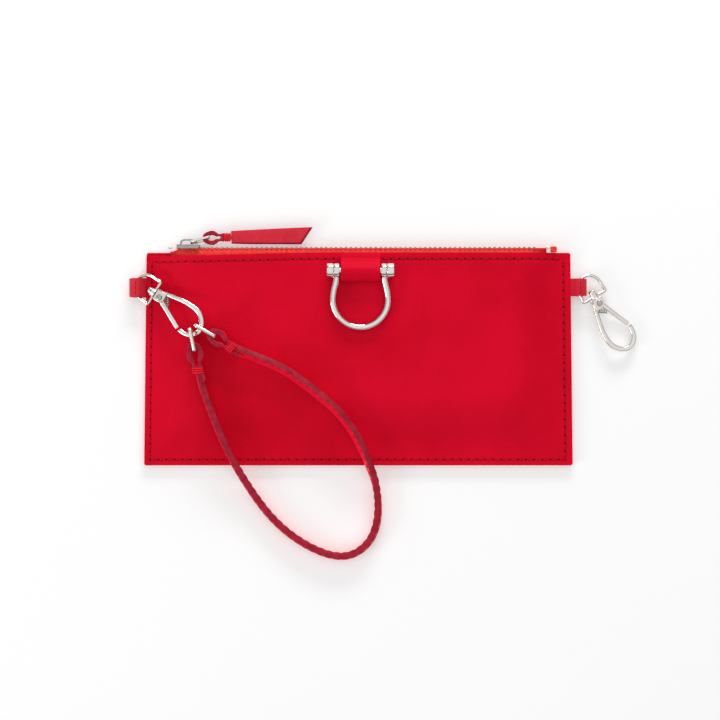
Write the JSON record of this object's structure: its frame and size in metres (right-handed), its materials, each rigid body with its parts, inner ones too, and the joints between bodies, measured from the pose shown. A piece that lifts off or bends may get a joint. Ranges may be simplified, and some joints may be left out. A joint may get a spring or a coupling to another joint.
{
  "type": "wristlet wallet",
  "caption": "Flat zip-top leather pouch with a detachable wrist strap on a swivel snap hook, a second snap hook, and a horseshoe shackle on its face.",
  "frame": {"origin": "on the back face, under the middle of the pouch as measured between its side seams and between its bottom seam and zip", "axes": "+X along the zip to the right, +Y from the bottom seam up to the zip, +Z out of the front face"},
  "size_m": [0.2566, 0.1683, 0.0204],
  "materials": {
    "leather": "fine pebbled red leather, semi-matt",
    "lining": "plain woven lining cloth",
    "zip_tape": "woven polyester zip tape",
    "thread": "waxed bonded thread",
    "nickel": "bright nickel plate, polished",
    "spring_steel": "plain spring steel"
  },
  "bodies": {
    "pouch": {"back_panel": "leather", "front_panel": "leather", "back_lining": "lining", "front_lining": "lining", "zip_tape_back": "zip_tape", "zip_tape_front": "zip_tape", "zip_teeth_back": "nickel", "zip_teeth_front": "nickel", "zip_stop_front": "nickel", "zip_stop_back": "nickel", "zip_stop_end": "nickel", "zip_end_fold": "zip_tape", "shackle_tab": "leather", "shackle_pin": "nickel", "shackle_cap": "nickel", "left_tab": "leather", "right_tab": "leather"},
    "slider": {"zip_slider": "nickel", "zip_slider_lower": "nickel"},
    "link": {"pull_link": "nickel"},
    "puller": {"zip_pull": "leather", "zip_pull_binding": "thread"},
    "bow": {"shackle_bow": "nickel"},
    "left_eye": {"left_d_ring": "nickel"},
    "left_snap": {"left_hook": "nickel", "left_swivel_post": "nickel", "left_gate_rivet": "spring_steel", "left_gate_spring": "spring_steel"},
    "left_keeper": {"left_gate": "nickel"},
    "strap": {"strap_ring_a": "nickel", "strap_ring_b": "nickel", "strap_eye_a": "leather", "strap_eye_b": "leather", "strap_binding_a": "thread", "strap_binding_b": "thread", "wrist_strap": "leather"},
    "right_eye": {"right_d_ring": "nickel"},
    "right_snap": {"right_hook": "nickel", "right_swivel_post": "nickel", "right_gate_rivet": "spring_steel", "right_gate_spring": "spring_steel"},
    "right_keeper": {"right_gate": "nickel"}
  },
  "joints": [
    {"name": "zip_slide", "type": "slide", "parent": "pouch", "child": "slider", "axis": [1, 0, 0], "range_m": [0, 0.168]},
    {"name": "link_swing", "type": "hinge", "parent": "slider", "child": "link", "pos_m": [-0.0844, 0.0592, 0.0046], "axis": [0, 0, 1], "range_deg": [0, 100]},
    {"name": "pull_swing", "type": "hinge", "parent": "link", "child": "puller", "pos_m": [-0.07547, 0.06143, 0.0046], "axis": [0, 0, 1], "range_deg": [-1.5, 60]},
    {"name": "shackle_swing", "type": "hinge", "parent": "pouch", "child": "bow", "pos_m": [0.001, 0.0448, 0.0134], "axis": [-1, 0, 0], "range_deg": [0, 150]},
    {"name": "left_clasp_fold", "type": "hinge", "parent": "pouch", "child": "left_eye", "pos_m": [-0.11205, 0.0363, 0.0038], "axis": [0, -1, 0], "range_deg": [0, 150]},
    {"name": "left_swivel", "type": "hinge", "parent": "left_eye", "child": "left_snap", "pos_m": [-0.10304, 0.0336, 0.00681], "axis": [-0.7953, 0.5446, -0.2661], "range_deg": [0, 10]},
    {"name": "left_gate_open", "type": "hinge", "parent": "left_snap", "child": "left_keeper", "pos_m": [-0.0997, 0.03131, 0.00793], "axis": [-0.3173, 0, 0.9483], "range_deg": [0, 18], "stiffness_Nm_per_rad": 0.004},
    {"name": "strap_swing", "type": "hinge", "parent": "left_snap", "child": "strap", "pos_m": [-0.08137, 0.01399, 0.01407], "axis": [-0.7958, -0.5438, -0.2663], "range_deg": [0, 50]},
    {"name": "right_clasp_fold", "type": "hinge", "parent": "pouch", "child": "right_eye", "pos_m": [0.1116, 0.0365, 0.0038], "axis": [0, -1, 0], "range_deg": [-90, 120]},
    {"name": "right_swivel", "type": "hinge", "parent": "right_eye", "child": "right_snap", "pos_m": [0.1194, 0.0319, 0.00353], "axis": [0.4997, -0.866, -0.0175], "continuous": true},
    {"name": "right_gate_open", "type": "hinge", "parent": "right_snap", "child": "right_keeper", "pos_m": [0.12149, 0.02826, 0.00345], "axis": [-0.1847, -0.0868, -0.979], "range_deg": [0, 18], "stiffness_Nm_per_rad": 0.004}
  ]
}
